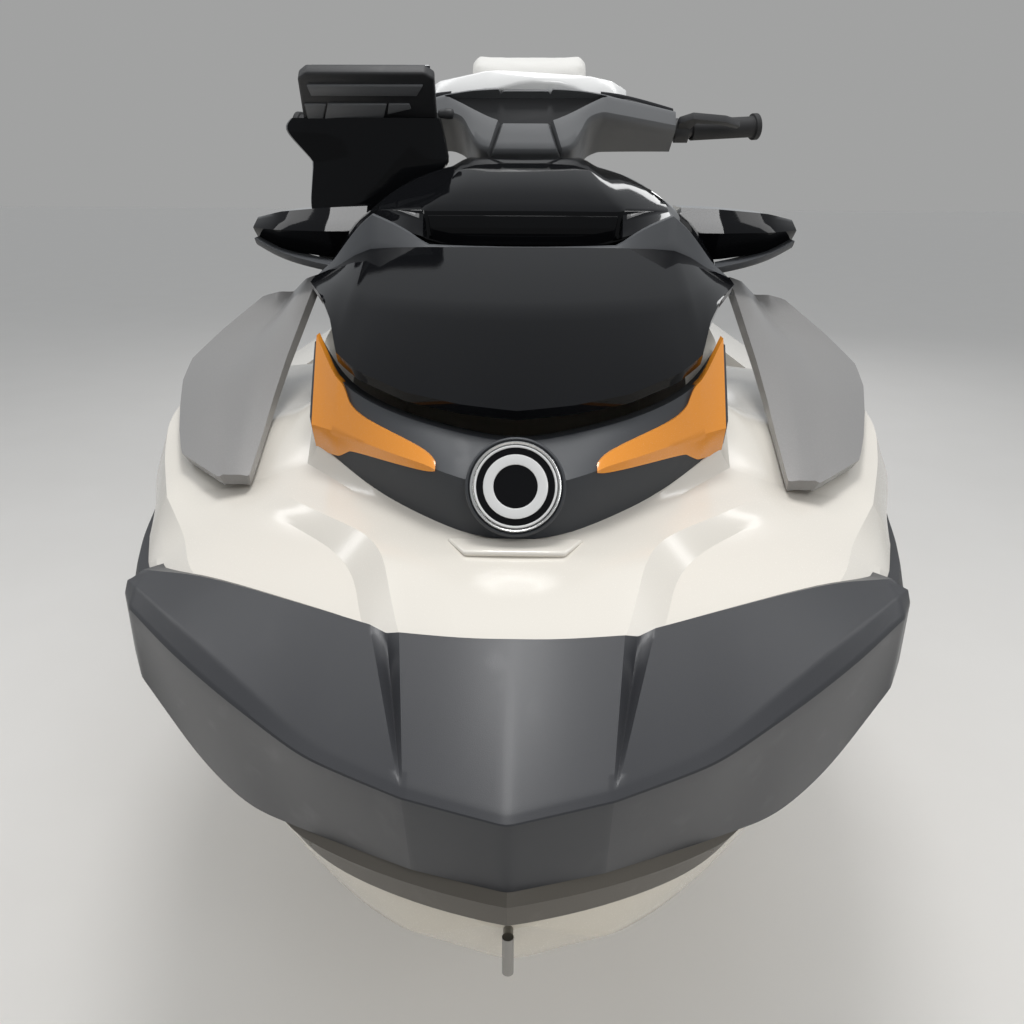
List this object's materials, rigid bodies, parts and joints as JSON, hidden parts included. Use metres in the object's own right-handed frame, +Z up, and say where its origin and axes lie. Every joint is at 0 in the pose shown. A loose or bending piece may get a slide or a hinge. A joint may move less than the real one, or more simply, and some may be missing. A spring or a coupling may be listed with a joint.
{
  "type": "personal watercraft",
  "caption": "Sit-on fishing personal watercraft with a long deck, swivel seat, cooler, screen, handlebar steering, opening hood and a steerable water-jet drive.",
  "frame": {"origin": "on the centreline at the waterline, amidships", "axes": "+X to the bow, +Y to port, +Z up"},
  "size_m": [3.73, 1.28, 1.288],
  "materials": {
    "hull_paint": "gloss gelcoat, warm off-white",
    "deck_paint": "gloss gelcoat, warm off-white",
    "rear_deck_paint": "gloss gelcoat, warm off-white",
    "engine_metal": "plain cast metal",
    "bumper_shell": "satin dark blue-grey",
    "lip_rubber": "satin dark grey",
    "rail_rubber": "matte black",
    "wing_paint": "gloss grey",
    "emblem_face": "gloss disc, plain",
    "accent_paint": "gloss orange",
    "surround_plastic": "matte charcoal",
    "hood_plastic": "gloss black",
    "trim_plastic": "matte grey",
    "cowl_plastic": "gloss black",
    "mirror_plastic": "gloss black",
    "mirror_face": "silvered",
    "console_plastic": "matte black",
    "column_metal": "bare metal",
    "bar_metal": "black coated tube",
    "grip_rubber": "ribbed rubber",
    "shroud_plastic": "matte grey",
    "cap_paint": "gloss white",
    "lever_plastic": "black",
    "mount_plastic": "gloss black",
    "screen_plastic": "matte black",
    "screen_face": "dark glass",
    "gauge_face": "dark display",
    "glovebox_plastic": "matte black",
    "glovebox_lid_plastic": "matte black",
    "pedestal_metal": "brushed",
    "seat_base_plastic": "matte black",
    "cushion_cover": "white marine vinyl",
    "backrest_cover": "white marine vinyl",
    "cooler_plastic": "textured light grey",
    "cooler_lid_plastic": "textured light grey",
    "rod_plastic": "black",
    "platform_plastic": "dark grey",
    "ladder_metal": "brushed tube",
    "mat_foam": "grooved foam",
    "pump_metal": "cast, painted dark",
    "shaft_steel": "steel",
    "impeller_steel": "polished steel",
    "nozzle_metal": "cast",
    "gate_plastic": "black",
    "plate_plastic": "black",
    "grate_metal": "cast",
    "sponson_plastic": "black",
    "eye_steel": "polished steel"
  },
  "bodies": {
    "craft": {"lower_hull": "hull_paint", "deck": "deck_paint", "rear_deck": "rear_deck_paint", "engine_block": "engine_metal", "front_bumper": "bumper_shell", "bumper_lip": "lip_rubber", "side_rails": "rail_rubber", "side_wings": "wing_paint", "emblem_disc": "emblem_face", "accent_panels": "accent_paint", "nose_surround": "surround_plastic", "console": "console_plastic", "steering_column": "column_metal", "screen_mount": "mount_plastic", "screen_body": "screen_plastic", "screen_glass": "screen_face", "gauge": "gauge_face", "glovebox_body": "glovebox_plastic", "seat_pedestal": "pedestal_metal", "cooler_body": "cooler_plastic", "rod_holders": "rod_plastic", "rear_platform": "platform_plastic", "deck_mats": "mat_foam", "pump_housing": "pump_metal", "ride_plate": "plate_plastic", "intake_grate": "grate_metal", "sponsons": "sponson_plastic", "towing_eyes": "eye_steel"},
    "hood_body": {"hood": "hood_plastic", "trim_band": "trim_plastic", "upper_cowl": "cowl_plastic", "mirror_housings": "mirror_plastic", "mirror_glass": "mirror_face"},
    "bars": {"handlebar": "bar_metal", "grips": "grip_rubber", "bar_shroud": "shroud_plastic", "bar_cap": "cap_paint", "bar_levers": "lever_plastic"},
    "glovebox_door": {"glovebox_lid": "glovebox_lid_plastic"},
    "seat": {"seat_base": "seat_base_plastic", "seat_cushion": "cushion_cover", "seat_backrest": "backrest_cover"},
    "cooler_door": {"cooler_lid": "cooler_lid_plastic"},
    "ladder": {"boarding_ladder": "ladder_metal"},
    "rotor": {"drive_shaft": "shaft_steel", "impeller": "impeller_steel"},
    "nozzle": {"steering_nozzle": "nozzle_metal"},
    "gate": {"reverse_gate": "gate_plastic"}
  },
  "joints": [
    {"name": "hood_hinge", "type": "hinge", "parent": "craft", "child": "hood_body", "pos_m": [1.46, 0, 0.448], "axis": [0, 1, 0], "range_deg": [0, 60]},
    {"name": "steering", "type": "hinge", "parent": "craft", "child": "bars", "pos_m": [0.635, 0, 0.665], "axis": [-0.4226, 0, 0.9063], "range_deg": [-20, 20]},
    {"name": "nozzle_turn", "type": "hinge", "parent": "craft", "child": "nozzle", "pos_m": [-1.51, 0, -0.11], "axis": [0, 0, 1], "range_deg": [-22, 22]},
    {"name": "impeller_spin", "type": "hinge", "parent": "craft", "child": "rotor", "pos_m": [-1.205, 0, -0.11], "axis": [1, 0, 0], "continuous": true},
    {"name": "reverse", "type": "hinge", "parent": "craft", "child": "gate", "pos_m": [-1.425, 0, -0.11], "axis": [0, 1, 0], "range_deg": [-25, 0]},
    {"name": "glovebox_hinge", "type": "hinge", "parent": "craft", "child": "glovebox_door", "pos_m": [0.471, 0, 0.518], "axis": [0, 1, 0], "range_deg": [0, 70]},
    {"name": "seat_swivel", "type": "hinge", "parent": "craft", "child": "seat", "pos_m": [-0.135, 0, 0.426], "axis": [0, 0, 1], "continuous": true},
    {"name": "cooler_hinge", "type": "hinge", "parent": "craft", "child": "cooler_door", "pos_m": [-1.197, 0, 0.606], "axis": [0, 1, 0], "range_deg": [-95, 0]},
    {"name": "ladder_fold", "type": "hinge", "parent": "craft", "child": "ladder", "pos_m": [-1.82, 0, 0.072], "axis": [0, 1, 0], "range_deg": [0, 95]}
  ],
  "couplings": [
    {"joint": "nozzle_turn", "follows": "steering", "ratio": -1.1}
  ]
}
